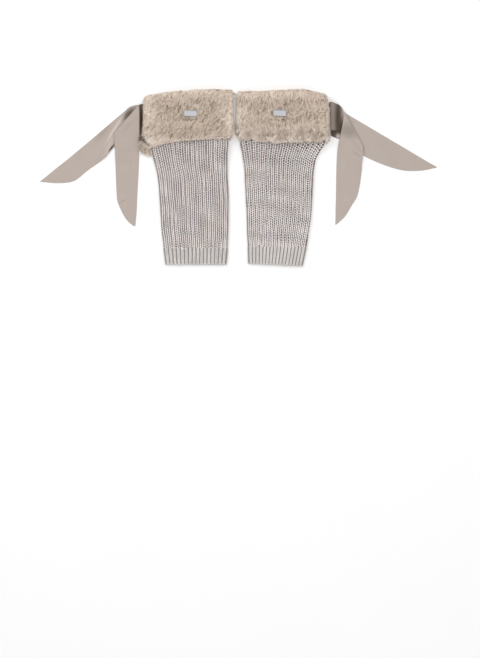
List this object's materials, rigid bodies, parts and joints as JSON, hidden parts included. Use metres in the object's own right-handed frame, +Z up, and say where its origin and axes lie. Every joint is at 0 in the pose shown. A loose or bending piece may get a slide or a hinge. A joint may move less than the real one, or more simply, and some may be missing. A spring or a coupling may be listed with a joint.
{
  "type": "pair of leg warmers",
  "caption": "Knitted leg warmers laid flat side by side: ribbed beige legs with turned-down fur cuffs, a blank label, and wide satin ribbon ends sewn to the outer sides",
  "frame": {"origin": "on the surface that the pair lies on, under the middle of the pair", "axes": "+X across the pair to the right as in the picture, +Y from the knitted hems to the fur cuffs, +Z up from the surface"},
  "size_m": [0.754, 0.3349, 0.0267],
  "materials": {
    "knit": "thick half-cardigan knit in pale pink-beige wool blend, deep grooves between the ribs",
    "hem_knit": "close plain ribbing in the same yarn, a little greyer",
    "fur": "soft sand-beige faux fur, matt, in small clumps",
    "satin": "greige satin ribbon with a soft sheen",
    "woven_label": "blank pale silver-white woven label"
  },
  "bodies": {
    "root": {"knit_leg_left": "knit", "knit_leg_right": "knit", "hem_band_left": "hem_knit", "hem_band_right": "hem_knit", "fur_cuff_left": "fur", "fur_cuff_right": "fur", "label_left": "woven_label", "label_right": "woven_label", "ribbon_front_left": "satin", "ribbon_front_right": "satin", "ribbon_back_left": "satin", "ribbon_back_right": "satin"}
  },
  "joints": []
}
